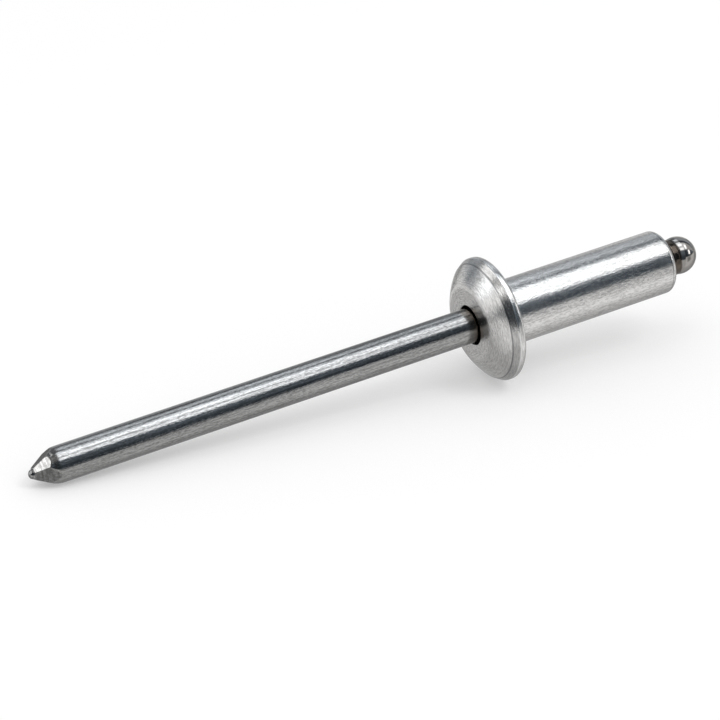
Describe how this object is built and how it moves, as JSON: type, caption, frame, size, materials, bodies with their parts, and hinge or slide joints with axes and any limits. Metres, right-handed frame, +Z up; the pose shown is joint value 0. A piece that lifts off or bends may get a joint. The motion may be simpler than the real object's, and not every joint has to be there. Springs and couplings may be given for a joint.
{
  "type": "blind rivet",
  "caption": "Unset dome-head blind rivet: flanged sleeve with a ball-headed, pinch-pointed mandrel through it, lying on its rim and stem.",
  "frame": {"origin": "on the surface the rivet lies on, under the middle of its length and width", "axes": "+X from the mandrel's point towards its ball head, +Z up; the rivet's axis lies in the XZ plane and rises 5.71 degrees towards the ball head"},
  "size_m": [0.0444, 0.0076, 0.0077],
  "materials": {
    "body_aluminium": "satin, lightly burnished along the sleeve and round the flange",
    "mandrel_steel": "bright drawn, with fine lines along the stem"
  },
  "bodies": {
    "root": {"rivet_body": "body_aluminium", "mandrel": "mandrel_steel"}
  },
  "joints": []
}
